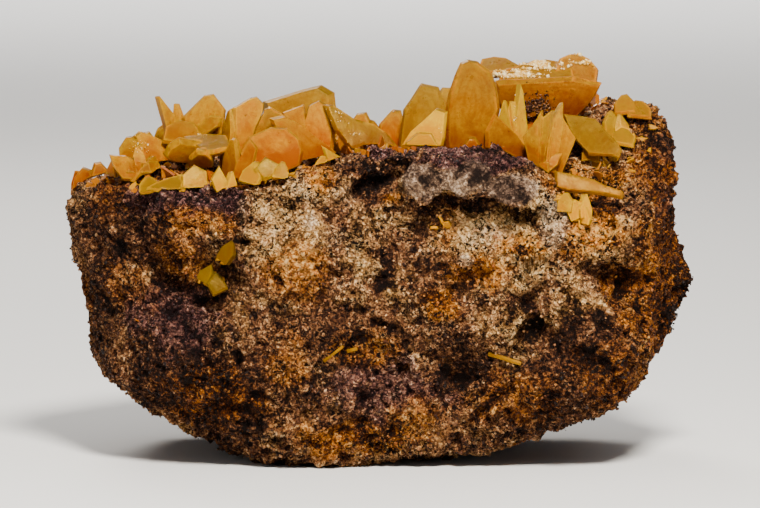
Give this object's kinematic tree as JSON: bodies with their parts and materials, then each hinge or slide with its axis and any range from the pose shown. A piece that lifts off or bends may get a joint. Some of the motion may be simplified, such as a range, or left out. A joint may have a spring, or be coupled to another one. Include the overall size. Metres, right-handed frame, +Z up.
{
  "type": "wulfenite specimen",
  "caption": "Loose piece of spongy iron-stained rock with honey-yellow tabular wulfenite crystals grown along its top edge.",
  "frame": {"origin": "on the flat patch that the rock rests on, under its middle", "axes": "+Z up, +X along the rock's length to the right of its front face, +Y from the front face to the back"},
  "size_m": [0.1041, 0.0556, 0.0667],
  "materials": {
    "gossan": "porous and granular, matt",
    "wulfenite_tan": "resinous, translucent",
    "wulfenite_honey": "resinous, translucent",
    "wulfenite_amber": "resinous, translucent",
    "wulfenite_orange": "resinous, translucent",
    "wulfenite_lemon": "resinous, translucent"
  },
  "bodies": {
    "root": {"matrix": "gossan", "left_end_cluster": "wulfenite_orange", "left_rosette": "wulfenite_honey", "left_spire_cluster": "wulfenite_honey", "front_left_strip": "wulfenite_lemon", "front_left_spray": "wulfenite_lemon", "back_block": "wulfenite_tan", "centre_left_cluster": "wulfenite_amber", "lemon_front_crystals": "wulfenite_lemon", "rim_chips": "wulfenite_lemon", "slanting_blade": "wulfenite_honey", "back_centre_cluster": "wulfenite_amber", "centre_right_back": "wulfenite_tan", "centre_right_front": "wulfenite_lemon", "tall_blade": "wulfenite_amber", "blade_fan": "wulfenite_honey", "cockscomb": "wulfenite_lemon", "great_rosette": "wulfenite_orange", "flat_plate": "wulfenite_tan", "hump_sprig": "wulfenite_lemon", "hump_plates": "wulfenite_honey", "ledge_wedge": "wulfenite_honey", "ledge_cluster": "wulfenite_lemon", "recess_plate": "wulfenite_lemon", "recess_sprig": "wulfenite_lemon", "rear_left_plate": "wulfenite_amber", "rear_centre_plates": "wulfenite_amber", "rear_right_plate": "wulfenite_amber"}
  },
  "joints": []
}
